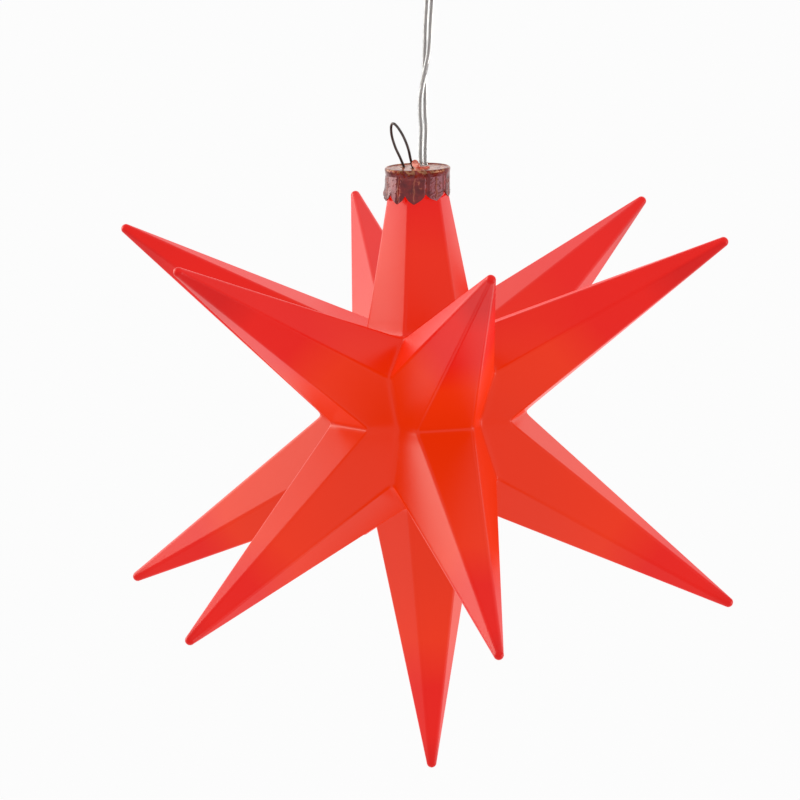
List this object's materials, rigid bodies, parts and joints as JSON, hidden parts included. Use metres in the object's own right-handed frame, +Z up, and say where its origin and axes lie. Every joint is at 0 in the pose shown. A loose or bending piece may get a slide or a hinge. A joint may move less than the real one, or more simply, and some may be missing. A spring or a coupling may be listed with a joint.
{
  "type": "advent star light",
  "caption": "Hollow pointed star lantern of hexagonal spikes hung on a twisted lead, with a scalloped crown cap, a wire loop, an LED tube inside and a small ceiling rose.",
  "frame": {"origin": "middle of the ceiling rose's face against the ceiling", "axes": "+Z up into the ceiling, +X along the rose's two screw holes and along the wire loop, -Y towards one pair of ring points"},
  "size_m": [0.1876, 0.216, 0.3064],
  "materials": {
    "star_plastic": "translucent satin",
    "cap_copper": "embossed bright copper",
    "loop_wire": "drawn wire",
    "grommet": "soft clear",
    "lamp_white": "moulded",
    "crimp": "plain",
    "lead_clear": "clear sheath over tinned strands",
    "tube_milky": "milky",
    "board": "solder mask",
    "led": "phosphor",
    "resistor": "plain",
    "rose_white": "moulded",
    "block": "moulded",
    "terminal_brass": "plated",
    "steel": "plated",
    "bush": "moulded"
  },
  "bodies": {
    "hanger": {"cap": "cap_copper", "cord_grommet": "grommet", "lamp_plug": "lamp_white", "cord_stop": "crimp", "lamp_cord": "lead_clear", "lamp_wires": "lead_clear", "lamp_tube": "tube_milky", "led_board": "board", "leds": "led", "led_resistor": "resistor", "cord": "lead_clear", "cord_top": "lead_clear", "ceiling_plate": "rose_white", "cord_bridge": "rose_white", "terminal_block": "block", "terminal_screws": "terminal_brass", "fitting_screws": "steel"},
    "star": {"neck_point": "star_plastic", "upper_point_1": "star_plastic", "upper_point_2": "star_plastic", "upper_point_3": "star_plastic", "upper_point_4": "star_plastic", "upper_point_5": "star_plastic", "upper_point_6": "star_plastic", "lower_point_1": "star_plastic", "lower_point_2": "star_plastic", "lower_point_3": "star_plastic", "lower_point_4": "star_plastic", "lower_point_5": "star_plastic", "lower_point_6": "star_plastic", "bottom_point": "star_plastic"},
    "loop": {"cap_loop": "loop_wire"},
    "rose_cover": {"cover": "rose_white", "cover_bush": "bush", "bush_nut": "bush"}
  },
  "joints": [
    {"name": "star_pull", "type": "slide", "parent": "hanger", "child": "star", "axis": [0, 0, -1], "range_m": [0, 0.11]},
    {"name": "loop_tilt", "type": "hinge", "parent": "hanger", "child": "loop", "pos_m": [-0.0067, -0.00525, -0.0977], "axis": [1, 0, 0], "range_deg": [-20, 35]},
    {"name": "cover_slide", "type": "slide", "parent": "hanger", "child": "rose_cover", "axis": [0, 0, -1], "range_m": [0, 0.02]}
  ]
}
